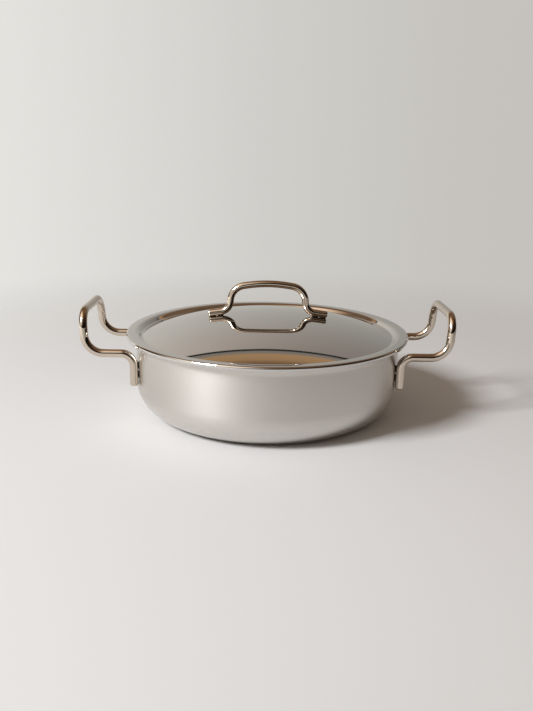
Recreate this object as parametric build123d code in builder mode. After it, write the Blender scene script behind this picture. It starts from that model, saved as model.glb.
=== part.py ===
from build123d import *
import math
import os

os.makedirs("parts", exist_ok=True)

# A lidded stainless steel braiser: a wide, low pan of three bonded plies with two upright loop handles
# of bent rod, and a domed lid of one sheet with its own rod handle.
# Millimetres, +Z up. The origin is on the pan's axis at the face it stands on, and +X points to the
# right-hand handle.

# Pan
pan_radius = 138.5  # outside of the upright wall
pan_height = 86.0  # floor to the top of the rim
base_bend_radius = 34.0  # outside radius of the bend from base to wall
lip_bend_radius = 12.0  # outside radius of the pouring lip
lip_angle = 50.0  # how far the lip turns outward, in degrees
outer_ply_thickness = 0.5
core_ply_thickness = 1.6
inner_ply_thickness = 0.5

# Side handles
rod_diameter = 8.5
run_height = 69.5  # centre line of the level runs above the floor
tail_bottom_height = 35.5  # lower end of the welded tails above the floor
tail_spacing = 89.7  # distance between a handle's two tails
bar_spacing = 84.9  # the legs draw in to this distance at the top bar
bar_height = 111.0  # centre line of the top bar above the floor
leg_offset = 45.85  # from the pan's wall to the foot of the legs
bar_offset = 48.5  # from the pan's wall to the top bar
tail_bend_radius = 12.5
leg_bend_radius = 19.5
bar_bend_radius = 18.0
rod_end_radius = 2.0
wall_gap = 0.5  # the weld's thickness between a tail and the wall

# Lid
lid_overhang_width = 9.7  # how far the lid reaches past the pan's wall
lid_thickness = 0.9
lid_rest_gap = 0.4  # running clearance between the rim and the lid that sits on it
edge_height = 4.0  # how far the turned-down edge hangs below the flange
edge_bend_radius = 2.2
flange_width = 11.0
flange_angle = 1.3  # how far the flange falls outward, in degrees
flange_bend_radius = 7.0  # bend where the flange turns down into the step
step_width = 4.8  # from the flange in to the valley, the ring where the step meets the dome
valley_depth = 5.0  # below the flange's top face
valley_bend_radius = 1.6
dome_radius = 420.0

# Lid handle
grip_diameter = 7.4
grip_peak_height = 33.5  # above the dome's top, where the bar's two straight halves would meet
grip_crown_share = 0.88  # how much of each half, up to the shoulder's bend, the bar's arch takes
grip_bar_angle = 9.4  # how far each half of the bar falls away, in degrees
grip_leg_angle = 6.9  # how far the legs lean out, in degrees
grip_leg_offset = 39.2  # from the lid's axis to a leg, at half its height
grip_foot_end_offset = 63.4  # from the lid's axis to the end of a foot
grip_foot_offset = 55.0  # where a foot lies along the dome
grip_shoulder_radius = 16.5
grip_ankle_radius = 11.3
lid_gap = 0.4  # the weld's thickness between a foot and the dome

# Welds, each a spot drawn out along its rod
weld_length = 7.4
weld_width = 4.4
weld_spacing = 9.5
weld_bite_depth = 0.3  # how far a weld's blank reaches past the face it joins, before it is cut to fit
foot_weld_length = 7.0
foot_weld_width = 4.0
foot_weld_spacing = 8.0
foot_weld_end_offset = 4.5  # from the end of a foot to its outer weld's middle

wall_thickness = outer_ply_thickness + core_ply_thickness + inner_ply_thickness
rod_radius = rod_diameter / 2
grip_radius = grip_diameter / 2


def save(piece, name):
    """Labels one finished piece and writes it."""
    piece.label = name
    export_step(piece, f"parts/{name}.step")


# The lip's centre of curvature: the outside bends round it by the lip's bend radius, the inside by that
# plus the wall, and the inside corner of the cut edge is the highest point of the pan.
lip_turn = math.radians(lip_angle)
lip_centre_r = pan_radius + lip_bend_radius
lip_centre_z = pan_height - (lip_bend_radius + wall_thickness) * math.sin(lip_turn)


def layer_points(depth):
    """Where the pan's section turns, for the surface that lies this far inside the outside face."""
    wall = pan_radius - depth
    bend = base_bend_radius - depth
    flare = lip_bend_radius + depth
    slant = bend * math.sqrt(1 / 2)
    half = lip_turn / 2
    return {
        "axis": (0, depth),
        "base_end": (wall - bend, depth),
        "bend_middle": (wall - bend + slant, depth + bend - slant),
        "wall_foot": (wall, depth + bend),
        "wall_top": (wall, lip_centre_z),
        "lip_middle": (lip_centre_r - flare * math.cos(half), lip_centre_z + flare * math.sin(half)),
        "lip_end": (lip_centre_r - flare * math.cos(lip_turn), lip_centre_z + flare * math.sin(lip_turn)),
    }


def layer_outline(depth):
    """Draws one surface of the pan's section, from the axis to the lip."""
    at = layer_points(depth)
    Line(at["axis"], at["base_end"])
    ThreePointArc(at["base_end"], at["bend_middle"], at["wall_foot"])
    Line(at["wall_foot"], at["wall_top"])
    ThreePointArc(at["wall_top"], at["lip_middle"], at["lip_end"])


# Pan plies. Each is a closed section between two neighbouring surfaces, turned round the axis.
ply_depths = {
    "pot_outer_ply": (0, outer_ply_thickness),
    "pot_core_ply": (outer_ply_thickness, outer_ply_thickness + core_ply_thickness),
    "pot_inner_ply": (outer_ply_thickness + core_ply_thickness, wall_thickness),
}
plies = {}
for ply_name, (outside, inside) in ply_depths.items():
    with BuildPart() as ply:
        with BuildSketch(Plane.XZ):
            with BuildLine():
                layer_outline(outside)
                layer_outline(inside)
                Line(layer_points(outside)["axis"], layer_points(inside)["axis"])
                Line(layer_points(outside)["lip_end"], layer_points(inside)["lip_end"])
            make_face()
        revolve(axis=Axis.Z)
    save(ply.part, ply_name)
    plies[ply_name] = ply.part

# Lid. One sheet runs from the dome's top, down into the valley, up the step, out along the flange and
# down its turned edge. The line drawn is the sheet's top face, and the sheet lies below it.
lid_radius = pan_radius + lid_overhang_width
flange_under = pan_height + lid_rest_gap
flange_top = flange_under + lid_thickness
flange_fall = flange_width * math.tan(math.radians(flange_angle))
step_radius = lid_radius - flange_width
valley_radius = step_radius - step_width
valley_z = flange_top - valley_depth
dome_centre_z = valley_z - math.sqrt(dome_radius**2 - valley_radius**2)
dome_top = dome_centre_z + dome_radius


def dome_z(radius):
    """Height of the dome's top face at this distance from the axis."""
    return dome_centre_z + math.sqrt(dome_radius**2 - radius**2)


with BuildPart() as lid_shell:
    with BuildSketch(Plane.XZ):
        with BuildLine():
            with BuildLine() as lid_top:
                ThreePointArc(
                    (0, dome_top),
                    (valley_radius / 2, dome_z(valley_radius / 2)),
                    (valley_radius, valley_z),
                )
                Line((valley_radius, valley_z), (step_radius, flange_top))
                Line((step_radius, flange_top), (lid_radius, flange_top - flange_fall))
                Line((lid_radius, flange_top - flange_fall), (lid_radius, flange_top - edge_height))
                corners = lid_top.vertices().filter_by_position(Axis.X, valley_radius, lid_radius)
                flange_corners = corners.sort_by(Axis.Y)
                fillet(flange_corners[-1], flange_bend_radius)
                fillet(flange_corners[-2], edge_bend_radius)
                fillet(flange_corners[0], valley_bend_radius)
            offset(lid_top.wire(), amount=lid_thickness, side=Side.RIGHT)
        make_face()
    revolve(axis=Axis.Z)
save(lid_shell.part, "lid_shell")

# Side handles. One rod rises from two tails on the wall, runs out level, turns up the legs and crosses
# in the top bar.
leg_x = pan_radius + leg_offset
bar_x = pan_radius + bar_offset
tail_y = tail_spacing / 2
bar_y = bar_spacing / 2
tail_ring = pan_radius + wall_gap + rod_radius  # distance of a tail's centre line from the pan's axis
tail_x = math.sqrt(tail_ring**2 - tail_y**2)


def handle_route(side):
    """Corners of a side handle's centre line, front tail first."""
    front = [
        (side * tail_x, -tail_y, tail_bottom_height),
        (side * tail_x, -tail_y, run_height),
        (side * leg_x, -tail_y, run_height),
        (side * bar_x, -bar_y, bar_height),
    ]
    return front + [(x, -y, z) for x, y, z in reversed(front)]


bend_radii = [tail_bend_radius, leg_bend_radius, bar_bend_radius]
side_handles = {}
for side_name, side in (("right", 1), ("left", -1)):
    with BuildPart() as side_handle:
        with BuildLine() as centre_line:
            FilletPolyline(*handle_route(side), radius=bend_radii + bend_radii[::-1])
        with BuildSketch(Plane(origin=centre_line.line @ 0, z_dir=centre_line.line % 0)):
            Circle(rod_radius)
        sweep()
        tail_ends = side_handle.edges().filter_by(GeomType.CIRCLE).group_by(Axis.Z)[0]
        fillet(tail_ends, rod_end_radius)
    save(side_handle.part, f"{side_name}_handle")
    side_handles[side_name] = side_handle.part

# Welds of the side handles: two on each tail, cut to the rod on one side and to the wall on the other.
upper_weld_z = run_height - tail_bend_radius
weld_heights = (upper_weld_z, upper_weld_z - weld_spacing)
weld_reach = tail_ring - pan_radius + weld_bite_depth
for side_name, side in (("right", 1), ("left", -1)):
    for end_name, end in (("front", -1), ("rear", 1)):
        inward = Vector(-side * tail_x, -end * tail_y, 0)
        with BuildPart() as tail_welds:
            for weld_z in weld_heights:
                middle = (side * tail_x, end * tail_y, weld_z)
                with BuildSketch(Plane(origin=middle, x_dir=Vector(0, 0, 1), z_dir=inward)):
                    SlotOverall(weld_length, weld_width)
            extrude(amount=weld_reach)
            add(side_handles[side_name], mode=Mode.SUBTRACT)
            add(plies["pot_outer_ply"], mode=Mode.SUBTRACT)
        save(tail_welds.part, f"{side_name}_handle_{end_name}_welds")

# Lid handle. The feet lie along the dome, the legs lean out a little and the bar is slightly arched.
foot_slope = math.asin(grip_foot_offset / dome_radius)
foot_ring = dome_radius + lid_gap + grip_radius  # distance of a foot's centre line from the dome's centre
foot_middle = (foot_ring * math.sin(foot_slope), dome_centre_z + foot_ring * math.cos(foot_slope))
peak_z = dome_top + grip_peak_height
leg_middle_z = (peak_z + foot_middle[1]) / 2
bar_fall = math.tan(math.radians(grip_bar_angle))
leg_lean = math.tan(math.radians(grip_leg_angle))
foot_fall = math.tan(foot_slope)

# The bar and a leg cross at the shoulder, a leg and a foot at the ankle:
# bar z = peak - fall * x, leg x = offset + lean * (middle - z), foot z = middle - fall * (x - middle).
shoulder_x = (grip_leg_offset + leg_lean * (leg_middle_z - peak_z)) / (1 - leg_lean * bar_fall)
shoulder_z = peak_z - bar_fall * shoulder_x
foot_line_z = foot_middle[1] + foot_fall * foot_middle[0]
ankle_x = (grip_leg_offset + leg_lean * (leg_middle_z - foot_line_z)) / (1 - leg_lean * foot_fall)
ankle_z = foot_line_z - foot_fall * ankle_x
foot_end_z = foot_line_z - foot_fall * grip_foot_end_offset

# The bar's arch leaves each straight half at its share of the run from the peak to the shoulder's bend.
shoulder_turn = math.radians(90 - grip_bar_angle - grip_leg_angle)
shoulder_tangent = grip_shoulder_radius * math.tan(shoulder_turn / 2)
half_bar = math.hypot(shoulder_x, peak_z - shoulder_z)
crown_radius = grip_crown_share * (half_bar - shoulder_tangent) / bar_fall

right_half = [(shoulder_x, 0, shoulder_z), (ankle_x, 0, ankle_z), (grip_foot_end_offset, 0, foot_end_z)]
left_half = [(-x, y, z) for x, y, z in reversed(right_half)]
grip_radii = [grip_ankle_radius, grip_shoulder_radius]
with BuildPart() as lid_handle:
    with BuildLine() as grip_line:
        FilletPolyline(
            *left_half,
            (0, 0, peak_z),
            *right_half,
            radius=grip_radii + [crown_radius] + grip_radii[::-1],
        )
    with BuildSketch(Plane(origin=grip_line.line @ 0, z_dir=grip_line.line % 0)):
        Circle(grip_radius)
    sweep()
    foot_ends = lid_handle.edges().filter_by(GeomType.CIRCLE).sort_by(Axis.X)
    fillet([foot_ends[0], foot_ends[-1]], rod_end_radius)
save(lid_handle.part, "lid_handle")

# Welds of the lid handle: two under each foot.
outer_spot = grip_foot_end_offset - foot_weld_end_offset
for side_name, side in (("right", 1), ("left", -1)):
    with BuildPart() as foot_welds:
        for spot in (outer_spot, outer_spot - foot_weld_spacing):
            start = Vector(side * spot, 0, foot_line_z - foot_fall * spot)
            along = Vector(side * math.cos(foot_slope), 0, -math.sin(foot_slope))
            down = Vector(-side * math.sin(foot_slope), 0, -math.cos(foot_slope))
            with BuildSketch(Plane(origin=start, x_dir=along, z_dir=down)):
                SlotOverall(foot_weld_length, foot_weld_width)
        extrude(amount=grip_radius + lid_gap + weld_bite_depth)
        add(lid_handle.part, mode=Mode.SUBTRACT)
        add(lid_shell.part, mode=Mode.SUBTRACT)
    save(foot_welds.part, f"lid_handle_{side_name}_welds")
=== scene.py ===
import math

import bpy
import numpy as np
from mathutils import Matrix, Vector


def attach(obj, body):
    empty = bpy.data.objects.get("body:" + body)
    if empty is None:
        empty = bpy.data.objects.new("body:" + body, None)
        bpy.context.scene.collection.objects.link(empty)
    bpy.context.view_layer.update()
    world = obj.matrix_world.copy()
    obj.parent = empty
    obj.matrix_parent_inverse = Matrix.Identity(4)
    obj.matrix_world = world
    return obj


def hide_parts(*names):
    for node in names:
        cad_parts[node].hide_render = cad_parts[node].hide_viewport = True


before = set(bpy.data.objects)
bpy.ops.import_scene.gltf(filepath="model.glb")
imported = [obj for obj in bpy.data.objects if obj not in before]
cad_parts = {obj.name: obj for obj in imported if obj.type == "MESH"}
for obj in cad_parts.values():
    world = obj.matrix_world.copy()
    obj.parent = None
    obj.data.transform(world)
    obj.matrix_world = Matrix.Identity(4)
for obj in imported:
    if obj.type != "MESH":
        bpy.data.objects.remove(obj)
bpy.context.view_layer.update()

# %% [markdown]
# A lidded braiser in stainless steel.
# The pan is a satin bowl of three bonded plies, the lid is one spun sheet with a mirror polish, and all the handles
# are bent from polished rod and welded on.
# Steel has almost no colour of its own: what the eye reads as steel is the room that it reflects. So this lesson
# spends its effort on three things: true smooth surfaces, the right gloss on each, and a room worth reflecting.

MM = 0.001

# %% [markdown]
# Colours are easier to judge as the hex values of a paint program, but Blender mixes light in linear numbers.
# One function turns the first into the second, so every colour below can be written in hex.


# %% Colours
def hex_colour(code):
    """sRGB hex to linear: v / 12.92 up to 0.04045, and ((v + 0.055) / 1.055) ** 2.4 above it."""
    v = np.array([int(code[i : i + 2], 16) for i in (0, 2, 4)]) / 255
    linear = np.where(v <= 0.04045, v / 12.92, ((v + 0.055) / 1.055) ** 2.4)
    return (*linear.tolist(), 1.0)


# %% [markdown]
# Materials, the floor and the room are all node trees. One small function adds a node, sets its options and
# connects its inputs, so that a material reads from top to bottom like a recipe.


# %% A node with its settings and links
def feed(tree, socket, value):
    """Sets an input to a number or a colour, or links it from a pair (node, name of its output)."""
    if isinstance(value, tuple) and isinstance(value[0], bpy.types.Node):
        tree.links.new(value[0].outputs[value[1]], socket)
    else:
        socket.default_value = value


def node(tree, kind, inputs=None, **settings):
    """Adds one node, with its settings by name and its inputs by name or number."""
    made = tree.nodes.new(kind)
    for name, value in settings.items():
        setattr(made, name, value)
    for name, value in (inputs or {}).items():
        feed(tree, made.inputs[name], value)
    return made


# %% [markdown]
# The camera comes before the pan, because a metal is dressed for what the eye sees in it.
# Its place was worked out from the outlines of the lid, the base and the handles: it stands 0.77 m in front of the
# pan's axis and 0.27 m above the table, and looks down by 15.4 degrees. The lens follows from the same sum.

# %% Camera
IMAGE_HEIGHT = 711
FOCAL_PIXELS = 740.9
SENSOR = 36.0
camera_data = bpy.data.cameras.new("camera")
camera_data.sensor_width = SENSOR
camera_data.lens = FOCAL_PIXELS / IMAGE_HEIGHT * SENSOR
camera_data.clip_start = 0.01
camera_data.clip_end = 60.0
camera = bpy.data.objects.new("camera", camera_data)
bpy.context.scene.collection.objects.link(camera)
bpy.context.scene.camera = camera

pitch, pan, roll, orbit = np.radians([15.43, 0.04, 0.95, -0.50])
DISTANCE = 0.7710
EYE_HEIGHT = 0.2699
camera.location = (math.sin(orbit) * DISTANCE, -math.cos(orbit) * DISTANCE, EYE_HEIGHT)
turn = Matrix.Rotation(orbit + pan, 4, "Z") @ Matrix.Rotation(math.pi / 2 - pitch, 4, "X")
camera.rotation_euler = (turn @ Matrix.Rotation(roll, 4, "Z")).to_euler()
print("camera at", tuple(camera.location), "lens", round(camera_data.lens, 2), "mm")

# %% [markdown]
# The room is the largest part of how polished steel looks, and a photographer builds it with cards and cloths.
# Here it is painted on the world by direction: a pale sweep of paper behind the pan that is bright towards the
# window on the left and dim on the right, its top edge, a strip of wall, a tan wooden ceiling, and a brown room
# behind the camera. Only glossy rays see it. The camera sees a pale background with painted light on it, brighter
# towards the window, and matt surfaces get a soft light from overhead, so that the object keeps its own colours.

# %% Where the window stands
KEY_AZIMUTH = math.radians(55)  # from straight in front, round towards the left
KEY_HEIGHT = math.radians(37.4)
key_way = Vector((-math.sin(KEY_AZIMUTH) * math.cos(KEY_HEIGHT), -math.cos(KEY_AZIMUTH) * math.cos(KEY_HEIGHT),
                  math.sin(KEY_HEIGHT)))
GLOW = 1.15

# %% Room that the steel reflects
world = bpy.data.worlds.new("room")
bpy.context.scene.world = world
world.use_nodes = True
room = world.node_tree
room.nodes.clear()
ray = node(room, "ShaderNodeTexCoord")
way = node(room, "ShaderNodeSeparateXYZ", {0: (ray, "Generated")})


def maths(tree, operation, *values):
    """One step of arithmetic on numbers or on outputs of nodes."""
    return node(tree, "ShaderNodeMath", dict(enumerate(values)), operation=operation)


def blend(tree, share, first, second):
    """Mixes two colours: first where share is 0 and second where it is 1."""
    inputs = {"Factor": share, "A": first, "B": second}
    mixed = tree.nodes.new("ShaderNodeMix")
    mixed.data_type = "RGBA"
    for socket in [s for s in mixed.inputs if s.enabled and s.name in inputs]:
        feed(tree, socket, inputs[socket.name])
    return mixed


def ramp(tree, value, stops):
    """A run of colours: each stop is (position, hex colour)."""
    made = node(tree, "ShaderNodeValToRGB", {"Fac": value})
    points = made.color_ramp.elements
    for place, (position, code) in enumerate(stops):
        point = points[place] if place < len(points) else points.new(position)
        point.position = position
        point.color = hex_colour(code)
    return made


# Straight overhead every side meets, so within 20 degrees of it the sides fade into one another: 0.35 is the sine
# of that angle.
ZENITH_FADE = 0.35
level = maths(room, "SQRT", (maths(room, "ADD", (maths(room, "POWER", (way, "X"), 2.0), 0),
                                   (maths(room, "POWER", (way, "Y"), 2.0), 0)), 0))
level = maths(room, "MAXIMUM", (level, 0), ZENITH_FADE)
side = maths(room, "DIVIDE", (way, "X"), (level, 0))
depth = maths(room, "DIVIDE", (way, "Y"), (level, 0))


def lit_from_left(rate):
    """Strength by side: e to the power of minus rate times side, so more than 1 towards the window."""
    return maths(room, "EXPONENT", (maths(room, "MULTIPLY", (side, 0), -rate), 0))


# The sweep of paper: its tone by height, brighter towards the window, and dark where it ends on the right.
SWEEP_RATE = 0.92
PAPER_END_START, PAPER_END_STOP = 0.45, 0.9
PAPER_END_STRENGTH = 0.25
sweep_tone = ramp(room, (way, "Z"), [(0.0, "BDBAB4"), (0.31, "B9B6B0"), (0.42, "B6B1AA"), (0.59, "B2A8A1"),
                                     (0.70, "AAA198"), (1.0, "9C9083")])
window_side = lit_from_left(SWEEP_RATE)
paper_end = node(room, "ShaderNodeMapRange",
                 {"Value": (side, 0), "From Min": PAPER_END_START, "From Max": PAPER_END_STOP,
                  "To Min": 1.0, "To Max": PAPER_END_STRENGTH}, interpolation_type="SMOOTHSTEP")
sweep_strength = maths(room, "MULTIPLY", (window_side, 0), (paper_end, "Result"))
sweep = node(room, "ShaderNodeVectorMath", {0: (sweep_tone, "Color"), "Scale": (sweep_strength, 0)},
             operation="SCALE")

# Over the sweep: its edge, a strip of wall and the ceiling, by how steep the ray climbs away from the camera. The
# edge sags to the sides, and its ramp is written at half the climb, because a ramp ends at 1.
LEAST_AWAY = 0.02
EDGE_SAG = 0.40
EDGE_START, EDGE_STOP = 0.920, 0.930
RAMP_SCALE = 0.5
away = maths(room, "MAXIMUM", (way, "Y"), LEAST_AWAY)
climb = maths(room, "DIVIDE", (way, "Z"), (away, 0))
across = maths(room, "POWER", (maths(room, "DIVIDE", (way, "X"), (away, 0)), 0), 2.0)
edge_climb = maths(room, "ADD", (climb, 0), (maths(room, "MULTIPLY", (across, 0), EDGE_SAG), 0))
over_sweep = ramp(room, (maths(room, "MULTIPLY", (edge_climb, 0), RAMP_SCALE), 0),
                  [(0.460, "1C211D"), (0.475, "1C211D"), (0.485, "8E8780"), (0.505, "93877B"), (0.515, "B8946E"),
                   (0.57, "B08C66"), (0.61, "86694F"), (0.67, "705A48"), (1.0, "7A634E")])
edge_share = node(room, "ShaderNodeMapRange", {"Value": (edge_climb, 0), "From Min": EDGE_START,
                                               "From Max": EDGE_STOP})
behind = blend(room, (edge_share, "Result"), (sweep, 0), (over_sweep, "Color"))

# The room behind the camera, and the slanting edge where the paper in front of it stops.
FRONT_RATE = 0.75
PAPER_EDGE_SLANT, PAPER_EDGE_DEPTH = -0.09, 0.42
FRONT_START, FRONT_STOP = -0.12, 0.08
front_tone = ramp(room, (way, "Z"), [(0.0, "D4D1CB"), (0.01, "D4D1CB"), (0.04, "14110F"), (0.12, "191512"),
                                     (0.30, "28201B"), (0.5, "43362C"), (0.72, "614D3D"), (0.88, "9A7C60"),
                                     (1.0, "8A6A4C")])
paper_edge = maths(room, "MULTIPLY_ADD", (side, 0), PAPER_EDGE_SLANT, PAPER_EDGE_DEPTH)
past_edge = maths(room, "SUBTRACT", (depth, 0), (paper_edge, 0))
front_share = node(room, "ShaderNodeMapRange", {"Value": (past_edge, 0), "From Min": FRONT_START,
                                                "From Max": FRONT_STOP}, interpolation_type="SMOOTHSTEP")
front_side = lit_from_left(FRONT_RATE)
front = node(room, "ShaderNodeVectorMath", {0: (front_tone, "Color"), "Scale": (front_side, 0)},
             operation="SCALE")
around = blend(room, (front_share, "Result"), (front, 0), (behind, 2))

# The wall round the window is lit by it: a glow that fades out between these two angles from its middle.
GLOW_INNER, GLOW_OUTER = math.radians(8), math.radians(46)
facing = node(room, "ShaderNodeVectorMath", {0: (ray, "Generated"), 1: tuple(key_way)}, operation="DOT_PRODUCT")
glow = node(room, "ShaderNodeMapRange", {"Value": (facing, "Value"), "From Min": math.cos(GLOW_OUTER),
                                         "From Max": math.cos(GLOW_INNER), "To Max": GLOW},
            interpolation_type="SMOOTHSTEP")
lit_wall = node(room, "ShaderNodeVectorMath", {0: hex_colour("FFF8EE")[:3], "Scale": (glow, "Result")},
                operation="SCALE")
everything = node(room, "ShaderNodeVectorMath", {0: (around, 2), 1: (lit_wall, 0)}, operation="ADD")

# %% Background that the camera sees, with painted window light, and the soft light on matt surfaces
BACKDROP_SIDE = 0.34
backdrop_share = node(room, "ShaderNodeMapRange", {"Value": (side, 0), "From Min": -BACKDROP_SIDE,
                                                   "From Max": BACKDROP_SIDE})
# The background's colour is painted light: brighter on the left, towards the window, and darker to the right, where
# the window's light falls away.
backdrop = ramp(room, (backdrop_share, "Result"), [(0.0, "E5E4E0"), (0.5, "CFCECA"), (0.85, "C6C3BE"),
                                                   (1.0, "C5C1BC")])
path = node(room, "ShaderNodeLightPath")
# The soft light comes from overhead and fades to nothing at the horizon, so that the gap where the base bends away
# from the table goes dark. It is full where a direction rises by 0.7 of its length or more, 44 degrees up.
SOFT_LIGHT = 0.318
SOFT_LIGHT_HEIGHT = 0.7
overhead = node(room, "ShaderNodeMapRange", {"Value": (way, "Z"), "From Max": SOFT_LIGHT_HEIGHT,
                                             "To Max": SOFT_LIGHT}, interpolation_type="SMOOTHSTEP")
soft = node(room, "ShaderNodeBackground", {"Color": hex_colour("FFEADA"), "Strength": (overhead, "Result")})
reflected = node(room, "ShaderNodeBackground", {"Color": (everything, 0)})
seen = node(room, "ShaderNodeBackground", {"Color": (backdrop, "Color")})
glossy_mix = node(room, "ShaderNodeMixShader", {0: (path, "Is Glossy Ray"), 1: (soft, 0), 2: (reflected, 0)})
camera_mix = node(room, "ShaderNodeMixShader", {0: (path, "Is Camera Ray"), 1: (glossy_mix, 0), 2: (seen, 0)})
node(room, "ShaderNodeOutputWorld", {"Surface": (camera_mix, 0)})

# %% [markdown]
# The key light is a window: a square of soft light to the front left. The shadow on the table gives its place, since
# the pan's shadow falls back and to the right, about one and a third times as long as the pan is high.

# %% Window light
KEY_DISTANCE = 2.8
KEY_SIZE = 0.747
KEY_POWER = 93.5
key_data = bpy.data.lights.new("window", "AREA")
key_data.shape = "SQUARE"
key_data.size = KEY_SIZE
key_data.energy = KEY_POWER
key_data.color = hex_colour("F4F8FF")[:3]
key = bpy.data.objects.new("window", key_data)
bpy.context.scene.collection.objects.link(key)
key.location = key_way * KEY_DISTANCE
key.rotation_euler = key_way.to_track_quat("Z", "Y").to_euler()

# %% [markdown]
# The table is a sheet of pale paper. It is a flat disc that takes the shadow, and its rim fades into the background
# so that no horizon shows.

# %% Table
FLOOR_RADIUS = 1.0
FLOOR_FADE = 0.22
FLOOR_SIDES = 96
floor_angles = np.linspace(0, 2 * np.pi, FLOOR_SIDES, endpoint=False)
floor_mesh = bpy.data.meshes.new("table_paper")
floor_points = np.stack([np.cos(floor_angles), np.sin(floor_angles), 0 * floor_angles], 1) * FLOOR_RADIUS
floor_mesh.from_pydata(floor_points.tolist(), [], [list(range(len(floor_angles)))])
floor = bpy.data.objects.new("table_paper", floor_mesh)
bpy.context.scene.collection.objects.link(floor)

paper = bpy.data.materials.new("matt_paper")
paper.use_nodes = True
tree = paper.node_tree
tree.nodes.clear()
place = node(tree, "ShaderNodeTexCoord")
far = node(tree, "ShaderNodeVectorMath", {0: (place, "Object")}, operation="LENGTH")
fade = node(tree, "ShaderNodeMapRange", {"Value": (far, "Value"), "From Min": FLOOR_FADE, "From Max": FLOOR_RADIUS},
            interpolation_type="SMOOTHSTEP")
sheet = node(tree, "ShaderNodeBsdfPrincipled", {"Base Color": hex_colour("DCDAD6"), "Roughness": 0.9,
                                                "Specular IOR Level": 0.2})
clear = node(tree, "ShaderNodeBsdfTransparent")
surface = node(tree, "ShaderNodeMixShader", {0: (fade, "Result"), 1: (sheet, 0), 2: (clear, 0)})
node(tree, "ShaderNodeOutputMaterial", {"Surface": (surface, 0)})
floor_mesh.materials.append(paper)

# %% [markdown]
# Every steel piece here is either turned or bent, so two ways of making a surface are enough.
# A turned piece is a profile carried round an axis, as on a lathe. A bent rod is a circle carried along a path.
# Both start from the same drawing: straight runs joined by arcs that touch them, which is how sheet and rod bend.


# %% Straight runs joined by arcs
def bent_line(corners, radii, arc_step=3.0, run_step=1e9):
    """Points and unit directions along a line with rounded corners.

    At a corner where the line turns by t, the arc of radius r starts r * tan(t / 2) before it. On the arc the
    direction is a * cos(s) + n * sin(s), with a the way in, n the inward normal, and s from 0 to t, and the point is
    centre + r * (a * sin(s) - n * cos(s)).
    """
    corners = np.array(corners, float)
    runs = np.diff(corners, axis=0)
    ways = runs / np.linalg.norm(runs, axis=1, keepdims=True)
    points, heads = [corners[:1]], [ways[:1]]
    for corner, radius, before, after in zip(corners[1:-1], radii, ways[:-1], ways[1:]):
        turn_angle = math.acos(np.clip(before @ after, -1, 1))
        inward = after - before * (before @ after)
        inward /= np.linalg.norm(inward)
        centre = corner - before * radius * math.tan(turn_angle / 2) + inward * radius
        count = max(3, math.ceil(math.degrees(turn_angle) / arc_step) + 1)
        s = np.linspace(0, turn_angle, count)[:, None]
        points.append(centre + radius * (before * np.sin(s) - inward * np.cos(s)))
        heads.append(before * np.cos(s) + inward * np.sin(s))
    points.append(corners[-1:])
    heads.append(ways[-1:])
    points, heads = np.concatenate(points), np.concatenate(heads)
    return refined(points, heads, run_step)


def refined(points, heads, run_step):
    """Adds points on runs longer than run_step and drops any that coincide."""
    gaps = np.linalg.norm(np.diff(points, axis=0), axis=1)
    keep = np.concatenate([[True], gaps > 1e-6])
    points, heads = points[keep], heads[keep]
    gaps = np.linalg.norm(np.diff(points, axis=0), axis=1)
    along = np.concatenate([[0], np.cumsum(gaps)])
    parts = np.maximum(1, np.ceil(gaps / run_step)).astype(int)
    places = np.concatenate([np.linspace(a, b, n, endpoint=False) for a, b, n in zip(along, along[1:], parts)])
    places = np.append(places, along[-1])
    finer = np.stack([np.interp(places, along, axis) for axis in points.T], 1)
    turned_heads = np.stack([np.interp(places, along, axis) for axis in heads.T], 1)
    return finer, turned_heads / np.linalg.norm(turned_heads, axis=1, keepdims=True)


# %% [markdown]
# A grid of points becomes a mesh in one step: numpy counts out the four corners of each face for the whole grid
# at once, and the first and last rings close on a single point, so that there is no hole at a pole.


# %% Closed surface from rings of points
def closed_skin(name, rings, first_pole, last_pole):
    """Mesh object from rings (count, around, 3) in millimetres, closed by a point at each end.

    Face (i, j) joins ring i and i + 1 between point j and j + 1, and j wraps round. The sign of the enclosed volume,
    the sum of a . (b x c) / 6 over all triangles, tells whether the faces look outwards, and they are turned if not.
    """
    count, around = rings.shape[:2]
    points = np.concatenate([[first_pole], rings.reshape(-1, 3), [last_pole]])
    i, j = np.meshgrid(np.arange(count - 1), np.arange(around), indexing="ij")
    near, far_side = 1 + i * around, 1 + (i + 1) * around
    after = (j + 1) % around
    quads = np.stack([near + j, near + after, far_side + after, far_side + j], -1).reshape(-1, 4)
    j = np.arange(around)
    after = (j + 1) % around
    last = len(points) - 1
    first_fan = np.stack([0 * j, 1 + after, 1 + j], 1)
    last_fan = np.stack([0 * j + last, 1 + (count - 1) * around + j, 1 + (count - 1) * around + after], 1)
    triangles = np.concatenate([quads[:, [0, 1, 2]], quads[:, [0, 2, 3]], first_fan, last_fan])
    a, b, c = (points[triangles[:, k]] for k in range(3))
    volume = np.einsum("ij,ij->", a, np.cross(b, c)) / 6
    faces = [f.tolist() for f in (quads, first_fan, last_fan)]
    if volume < 0:
        faces = [[f[::-1] for f in group] for group in faces]
    mesh = bpy.data.meshes.new(name)
    mesh.from_pydata((points * MM).tolist(), [], faces[0] + faces[1] + faces[2])
    mesh.polygons.foreach_set("use_smooth", np.ones(len(mesh.polygons), bool))
    mesh.update()
    made = bpy.data.objects.new(name, mesh)
    bpy.context.scene.collection.objects.link(made)
    print(name, len(mesh.polygons), "faces,", round(abs(volume) / 1000, 2), "cm3")
    return made


# %% [markdown]
# The lathe: a profile of radius and height, carried round the upright axis.


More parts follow.
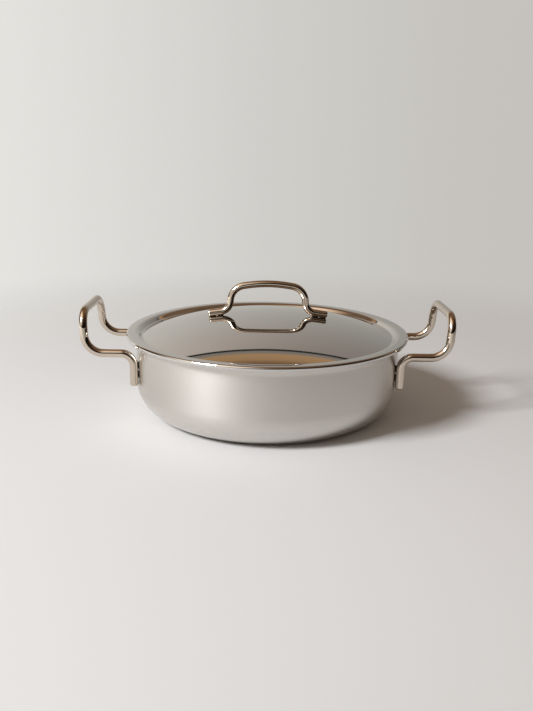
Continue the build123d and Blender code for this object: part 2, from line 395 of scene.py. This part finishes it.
# %% Turned piece
def turned(name, profile, around=360):
    """Point (r, z) of the profile goes to (r cos a, r sin a, z). The profile starts and ends on the axis."""
    a = (np.arange(around) + 0.5) / around * 2 * np.pi
    r, z = profile[1:-1, 0, None], profile[1:-1, 1, None]
    rings = np.stack([r * np.cos(a), r * np.sin(a), z + 0 * a], -1)
    return closed_skin(name, rings, (0, 0, profile[0, 1]), (0, 0, profile[-1, 1]))


def beside(points, heads, depth):
    """The line that lies this far to the left of a flat line: point + depth * (-dz, dr)."""
    return points + depth * np.stack([-heads[:, 1], heads[:, 0]], 1)


# %% [markdown]
# The pan. A disc of three bonded sheets is pressed to a flat base, a large bend, an upright wall and a lip that
# turns outward. One drawing of the outside is enough, because each layer is the same line moved inwards.

# %% Pan
PAN_RADIUS = 138.5
PAN_HEIGHT = 86.0
BASE_BEND = 34.0
LIP_BEND = 12.0
LIP_ANGLE = math.radians(50.0)
OUTER_PLY = 0.5
CORE_PLY = 1.6
INNER_PLY = 0.5
WALL = OUTER_PLY + CORE_PLY + INNER_PLY
RIM_ROUND = 0.22

lip_centre_z = PAN_HEIGHT - (LIP_BEND + WALL) * math.sin(LIP_ANGLE)
lip_tangent = LIP_BEND * math.tan(LIP_ANGLE / 2)
pan_corners = [
    (0, 0),
    (PAN_RADIUS, 0),
    (PAN_RADIUS, lip_centre_z + lip_tangent),
    (PAN_RADIUS + lip_tangent * math.sin(LIP_ANGLE), lip_centre_z + lip_tangent * (1 + math.cos(LIP_ANGLE))),
]
pan_line, pan_heads = bent_line(pan_corners, [BASE_BEND, LIP_BEND], arc_step=1.5, run_step=6.0)


def rounded_edge(start, end, head, radius, steps=6):
    """Points across a cut edge whose two corners are rounded: each is a quarter of a circle."""
    across_way = (end - start) / np.linalg.norm(end - start)
    s = np.linspace(0, np.pi / 2, steps)[:, None]
    first = start + across_way * radius * (1 - np.cos(s)) + head * radius * (np.sin(s) - 1)
    second = end - across_way * radius * (1 - np.cos(s)) + head * radius * (np.sin(s) - 1)
    return np.concatenate([first, second[::-1]])


def ply(name, outside, inside):
    """One layer of the pan, between two depths below the outside face."""
    out_line = beside(pan_line, pan_heads, outside)
    in_line = beside(pan_line, pan_heads, inside)
    edge = rounded_edge(out_line[-1], in_line[-1], pan_heads[-1], RIM_ROUND)
    profile = np.concatenate([out_line[:-1], edge, in_line[-2::-1]])
    profile[[0, -1], 0] = 0
    return turned(name, profile)


outer_skin = ply("satin_pan_skin", 0, OUTER_PLY)
core = ply("aluminium_core_ply", OUTER_PLY, OUTER_PLY + CORE_PLY)
inner_skin = ply("satin_inside_skin", OUTER_PLY + CORE_PLY, WALL)
for piece, cad_node, slot in ((outer_skin, "pot_outer_ply", "satin_outer_steel"),
                              (core, "pot_core_ply", "aluminium_core"),
                              (inner_skin, "pot_inner_ply", "satin_inner_steel")):
    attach(piece, "pot")
    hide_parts(cad_node)

# %% [markdown]
# The lid. One thin sheet is spun over a form: a shallow dome, a valley that drops inside the pan's rim, a step up to
# a flange that falls a little outward, and a turned-down edge. Its mirror polish shows every fault, so the dome is a
# true arc with a ring of points every few millimetres, and each bend has ten or more.

# %% Lid
LID_RADIUS = 148.2
LID_SHEET = 0.9
RIM_CLEARANCE = 0.4
LID_TOP = PAN_HEIGHT + RIM_CLEARANCE + LID_SHEET  # where the flange starts
FLANGE_WIDTH = 11.0
FLANGE_ANGLE = math.radians(1.3)
FLANGE_FALL = FLANGE_WIDTH * math.tan(FLANGE_ANGLE)
FLANGE_BEND = 7.0
EDGE_HEIGHT = 4.0
EDGE_BEND = 2.2
EDGE_ROUND = 0.3
STEP_WIDTH = 4.8
STEP_RADIUS = LID_RADIUS - FLANGE_WIDTH
VALLEY_RADIUS = STEP_RADIUS - STEP_WIDTH
VALLEY_DEPTH = 5.0
VALLEY_BEND = 1.6
DOME_RADIUS = 420.0
DOME_RINGS = 48
dome_centre =LID_TOP - VALLEY_DEPTH - math.sqrt(DOME_RADIUS**2 - VALLEY_RADIUS**2)
dome_top = dome_centre + DOME_RADIUS

# The valley's bend touches the dome and the step. Its centre lies at its own radius from the step's line and at the
# dome's radius plus its own from the dome's centre, which gives the angle where the dome ends.
step_way = np.array([STEP_RADIUS - VALLEY_RADIUS, VALLEY_DEPTH])
step_way /= np.linalg.norm(step_way)
start = np.array([VALLEY_RADIUS - VALLEY_BEND * step_way[1],
                  LID_TOP - VALLEY_DEPTH + VALLEY_BEND * step_way[0] - dome_centre])
reach = -start @ step_way + math.sqrt((start @ step_way) ** 2 - start @ start + (DOME_RADIUS + VALLEY_BEND) ** 2)
dome_turn = math.atan2(*(start + reach * step_way))
dome_reach = DOME_RADIUS * math.tan(dome_turn / 2)
fall, climb_rate = math.tan(dome_turn), step_way[1] / step_way[0]
valley_x = (dome_top + dome_reach * fall - LID_TOP + climb_rate * STEP_RADIUS) / (climb_rate + fall)
lid_corners = [
    (0, dome_top),
    (dome_reach, dome_top),
    (valley_x, dome_top - (valley_x - dome_reach) * fall),
    (STEP_RADIUS, LID_TOP),
    (LID_RADIUS, LID_TOP - FLANGE_FALL),
    (LID_RADIUS, LID_TOP - EDGE_HEIGHT),
]
lid_line, lid_heads = bent_line(lid_corners, [DOME_RADIUS, VALLEY_BEND, FLANGE_BEND, EDGE_BEND], arc_step=5.0,
                                run_step=3.5)


def dense_dome(points, heads, rings):
    """Replaces the few points on the dome's arc by rings of them: r = R sin(s), z = centre + R cos(s)."""
    beyond = points[:, 0] > DOME_RADIUS * math.sin(dome_turn) + 1e-6
    s = np.linspace(0, dome_turn, rings)
    arc = np.stack([DOME_RADIUS * np.sin(s), dome_centre + DOME_RADIUS * np.cos(s)], 1)
    arc_heads = np.stack([np.cos(s), -np.sin(s)], 1)
    return np.concatenate([arc, points[beyond]]), np.concatenate([arc_heads, heads[beyond]])


lid_line, lid_heads = dense_dome(lid_line, lid_heads, DOME_RINGS)
lid_under = beside(lid_line, lid_heads, -LID_SHEET)
lid_edge = rounded_edge(lid_line[-1], lid_under[-1], lid_heads[-1], EDGE_ROUND)
lid_profile = np.concatenate([lid_line[:-1], lid_edge, lid_under[-2::-1]])
lid_profile[[0, -1], 0] = 0
lid = turned("mirror_lid", lid_profile)
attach(lid, "lid")
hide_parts("lid_shell")

# %% [markdown]
# The rods. Each handle is one length of polished rod, bent cold round a former, so each bend is an arc that touches
# its two straight runs. A circle is carried along the line. Its spokes must not twist, because a twisted mesh shows
# in a mirror finish, so each spoke is turned only as much as the line turns.


# %% Bent rod
NO_ROD_STARTS_THIS_WAY = (0.31, 0.95, 0.11)


def carried_spokes(heads):
    """For each direction along the line, two unit vectors across it that don't twist from one to the next."""
    first = np.cross(heads[0], NO_ROD_STARTS_THIS_WAY)
    spokes = [first / np.linalg.norm(first)]
    for head in heads[1:]:
        spoke = spokes[-1] - head * (head @ spokes[-1])
        spokes.append(spoke / np.linalg.norm(spoke))
    spokes = np.array(spokes)
    return spokes, np.cross(heads, spokes)


def rod(name, corners, radii, radius, end_round=2.0, end_rings=7, around=48):
    """Ring point = centre + radius * (cos a * first spoke + sin a * second), with the ends rounded over."""
    line, heads = bent_line(corners, radii, arc_step=3.0, run_step=3.0)
    s = np.linspace(0, np.pi / 2, end_rings)
    back = end_round * (1 - np.sin(s))
    shrink = end_round * (1 - np.cos(s))
    inner = slice(1, -1)
    centres = np.concatenate([line[0] + heads[0] * back[::-1][:, None], line[inner],
                              line[-1] - heads[-1] * back[:, None]])
    ways = np.concatenate([np.repeat(heads[:1], end_rings, 0), heads[inner], np.repeat(heads[-1:], end_rings, 0)])
    sizes = np.concatenate([radius - shrink[::-1], np.full(len(line) - 2, radius), radius - shrink])
    first, second = carried_spokes(ways)
    a = ((np.arange(around) + 0.5) / around * 2 * np.pi)[None, :, None]
    circle = first[:, None] * np.cos(a) + second[:, None] * np.sin(a)
    rings = centres[:, None] + sizes[:, None, None] * circle
    return closed_skin(name, rings, centres[0], centres[-1])


# %% Side handles
ROD_RADIUS = 4.245  # a hair under 4.25, so that the skin stays inside the solid
RUN_HEIGHT = 69.5
TAIL_BOTTOM = 35.5
TAIL_Y = 44.85
BAR_Y = 42.45
LEG_X = PAN_RADIUS + 45.85
BAR_X = PAN_RADIUS + 48.5
BAR_HEIGHT = 111.0
WALL_GAP = 0.5
TAIL_RING = PAN_RADIUS + WALL_GAP + ROD_RADIUS
TAIL_X = math.sqrt(TAIL_RING**2 - TAIL_Y**2)
SIDE_BENDS = [12.5, 19.5, 18.0]
polished_rods = []
for side_name, hand in (("right", 1), ("left", -1)):
    front_half = [(hand * TAIL_X, -TAIL_Y, TAIL_BOTTOM), (hand * TAIL_X, -TAIL_Y, RUN_HEIGHT),
                  (hand * LEG_X, -TAIL_Y, RUN_HEIGHT), (hand * BAR_X, -BAR_Y, BAR_HEIGHT)]
    route = front_half + [(x, -y, z) for x, y, z in reversed(front_half)]
    handle = rod(f"{side_name}_rod_handle", route, SIDE_BENDS + SIDE_BENDS[::-1], ROD_RADIUS)
    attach(handle, "pot")
    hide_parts(f"{side_name}_handle")
    polished_rods.append(handle)

# %% [markdown]
# The lid's handle is thinner rod. Its two feet lie along the dome, the legs lean out a little, and the bar is
# slightly arched, so its corners are found where those lines cross.

# %% Lid handle
GRIP_RADIUS = 3.7
GRIP_PEAK = 33.5
GRIP_LEG = 39.2
FOOT_END = 63.4
FOOT_MIDDLE = 55.0
LID_GAP = 0.4
BAR_ANGLE = math.radians(9.4)
LEG_ANGLE = math.radians(6.9)
bar_fall = math.tan(BAR_ANGLE)
leg_lean = math.tan(LEG_ANGLE)
foot_slope = math.asin(FOOT_MIDDLE / DOME_RADIUS)
foot_fall = math.tan(foot_slope)
foot_ring = DOME_RADIUS + LID_GAP + GRIP_RADIUS
foot_x, foot_z = foot_ring * math.sin(foot_slope), dome_centre + foot_ring * math.cos(foot_slope)
peak_z = dome_top + GRIP_PEAK
middle_z = (peak_z + foot_z) / 2
shoulder_x = (GRIP_LEG + leg_lean * (middle_z - peak_z)) / (1 - leg_lean * bar_fall)
shoulder_z = peak_z - bar_fall * shoulder_x
foot_line = foot_z + foot_fall * foot_x
ankle_x = (GRIP_LEG + leg_lean * (middle_z - foot_line)) / (1 - leg_lean * foot_fall)
ankle_z = foot_line - foot_fall * ankle_x
right_half = [(shoulder_x, 0, shoulder_z), (ankle_x, 0, ankle_z), (FOOT_END, 0, foot_line - foot_fall * FOOT_END)]
left_half = [(-x, y, z) for x, y, z in reversed(right_half)]
SHOULDER_BEND, ANKLE_BEND = 16.5, 11.3
CROWN_SHARE = 0.88  # of the largest bend that fits between the shoulders
shoulder_tangent = SHOULDER_BEND * math.tan((math.pi / 2 - BAR_ANGLE - LEG_ANGLE) / 2)
crown_bend = CROWN_SHARE * (math.hypot(shoulder_x, peak_z - shoulder_z) - shoulder_tangent) / bar_fall
grip = rod("lid_rod_handle", [*left_half, (0, 0, peak_z), *right_half],
           [ANKLE_BEND, SHOULDER_BEND, crown_bend, SHOULDER_BEND, ANKLE_BEND], GRIP_RADIUS)
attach(grip, "lid")
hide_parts("lid_handle")
polished_rods.append(grip)

# %% [markdown]
# The finishes. The wall of the pan is turned on a lathe with a fine belt. The belt leaves rings far thinner than
# the eye can part, which smear each reflection up and down but not along the wall: that is an anisotropic gloss
# whose direction runs round the axis. The lid and rods are buffed until the scratches are too small to see.


# %% Steel finishes
UNEVENNESS = 0.06  # how far the patches move the roughness, and the belt's marks again, from least to most
BEND_BOTTOM, BEND_TOP = 0.002, 0.032  # metres above the table
BEND_ROUGHNESS = 0.5  # as a share of the wall's


def finish(name, objects):
    """An empty material on these objects, and its node tree."""
    made = bpy.data.materials.new(name)
    made.use_nodes = True
    made.node_tree.nodes.clear()
    for o in objects:
        o.data.materials.clear()
        o.data.materials.append(made)
    return made.node_tree


def lathe_turned_steel(name, objects, colour, roughness, smear):
    """Stainless steel turned with a fine belt: rings round the axis, told by the height or the radius."""
    tree = finish(name, objects)
    place = node(tree, "ShaderNodeTexCoord")
    axes = node(tree, "ShaderNodeSeparateXYZ", {0: (place, "Object")})
    flat = node(tree, "ShaderNodeCombineXYZ", {"X": (axes, "X"), "Y": (axes, "Y")})
    radius = node(tree, "ShaderNodeVectorMath", {0: (flat, 0)}, operation="LENGTH")
    ring = node(tree, "ShaderNodeCombineXYZ", {"X": (radius, "Value"), "Z": (axes, "Z")})
    # Belt marks are about 0.05 mm apart. They are drawn 0.6 mm apart, or they wouldn't show at all.
    marks = node(tree, "ShaderNodeTexNoise", {"Vector": (ring, 0), "Scale": 1700.0, "Detail": 3.0, "Roughness": 0.6})
    patches = node(tree, "ShaderNodeTexNoise", {"Vector": (place, "Object"), "Scale": 22.0, "Detail": 2.0})
    uneven = maths(tree, "MULTIPLY_ADD", (patches, "Fac"), UNEVENNESS, roughness - UNEVENNESS / 2)
    streaks = maths(tree, "MULTIPLY_ADD", (marks, "Fac"), UNEVENNESS, -UNEVENNESS / 2)
    rubbed = maths(tree, "ADD", (uneven, 0), (streaks, 0))
    # The belt bears harder on the bend at the base, so down there the steel is smoother than on the wall.
    bend = node(tree, "ShaderNodeMapRange", {"Value": (axes, "Z"), "From Min": BEND_BOTTOM, "From Max": BEND_TOP,
                                             "To Min": BEND_ROUGHNESS, "To Max": 1.0},
                interpolation_type="SMOOTHSTEP")
    gloss = maths(tree, "MULTIPLY", (rubbed, 0), (bend, "Result"))
    relief = node(tree, "ShaderNodeBump", {"Height": (marks, "Fac"), "Strength": 0.08, "Distance": 0.00003})
    round_axis = node(tree, "ShaderNodeTangent", direction_type="RADIAL", axis="Z")
    steel = node(tree, "ShaderNodeBsdfPrincipled",
                 {"Base Color": hex_colour(colour), "Metallic": 1.0, "Roughness": (gloss, 0), "Anisotropic": smear,
                  "Normal": (relief, 0), "Tangent": (round_axis, 0), "Anisotropic Rotation": 0.25})
    node(tree, "ShaderNodeOutputMaterial", {"Surface": (steel, 0)})


def buffed_steel(name, objects, colour, roughness):
    """Stainless steel buffed to a mirror: faint cloudy patches where the mop pressed more or less."""
    tree = finish(name, objects)
    place = node(tree, "ShaderNodeTexCoord")
    clouds = node(tree, "ShaderNodeTexNoise", {"Vector": (place, "Object"), "Scale": 40.0, "Detail": 3.0})
    gloss = maths(tree, "MULTIPLY_ADD", (clouds, "Fac"), roughness, roughness * 0.5)
    ripple = node(tree, "ShaderNodeTexNoise", {"Vector": (place, "Object"), "Scale": 60.0, "Detail": 1.0})
    relief = node(tree, "ShaderNodeBump", {"Height": (ripple, "Fac"), "Strength": 0.05, "Distance": 0.0001})
    steel = node(tree, "ShaderNodeBsdfPrincipled",
                 {"Base Color": hex_colour(colour), "Metallic": 1.0, "Roughness": (gloss, 0), "Normal": (relief, 0)})
    node(tree, "ShaderNodeOutputMaterial", {"Surface": (steel, 0)})


lathe_turned_steel("belt_turned_steel_outside", [outer_skin], "D6D2CD", 0.37, 0.66)
lathe_turned_steel("belt_turned_steel_inside", [inner_skin], "D6D2CD", 0.32, 0.55)
lathe_turned_steel("cut_aluminium_edge", [core], "E3E3E4", 0.35, 0.3)
buffed_steel("buffed_lid_steel", [lid], "D3D1CE", 0.03)
# The rods are the same steel as the lid, but their colour is warmer and darker: a painted reflection of the brown
# room around them.
buffed_steel("rod_steel_with_painted_brown_reflection", polished_rods, "D2C6B8", 0.03)

# %% Welds
welds = [o for name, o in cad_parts.items() if name.endswith("welds")]
tree = finish("dull_weld_steel", welds)
place = node(tree, "ShaderNodeTexCoord")
grain = node(tree, "ShaderNodeTexNoise", {"Vector": (place, "Object"), "Scale": 900.0, "Detail": 4.0})
tint = ramp(tree, (grain, "Fac"), [(0.3, "231E1A"), (0.7, "443C36")])
relief = node(tree, "ShaderNodeBump", {"Height": (grain, "Fac"), "Strength": 0.3, "Distance": 0.0002})
steel = node(tree, "ShaderNodeBsdfPrincipled", {"Base Color": (tint, "Color"), "Metallic": 1.0, "Roughness": 0.5,
                                                "Normal": (relief, 0)})
node(tree, "ShaderNodeOutputMaterial", {"Surface": (steel, 0)})

# %% Colours shown as they are, with no film look added
bpy.context.scene.view_settings.view_transform = "Standard"
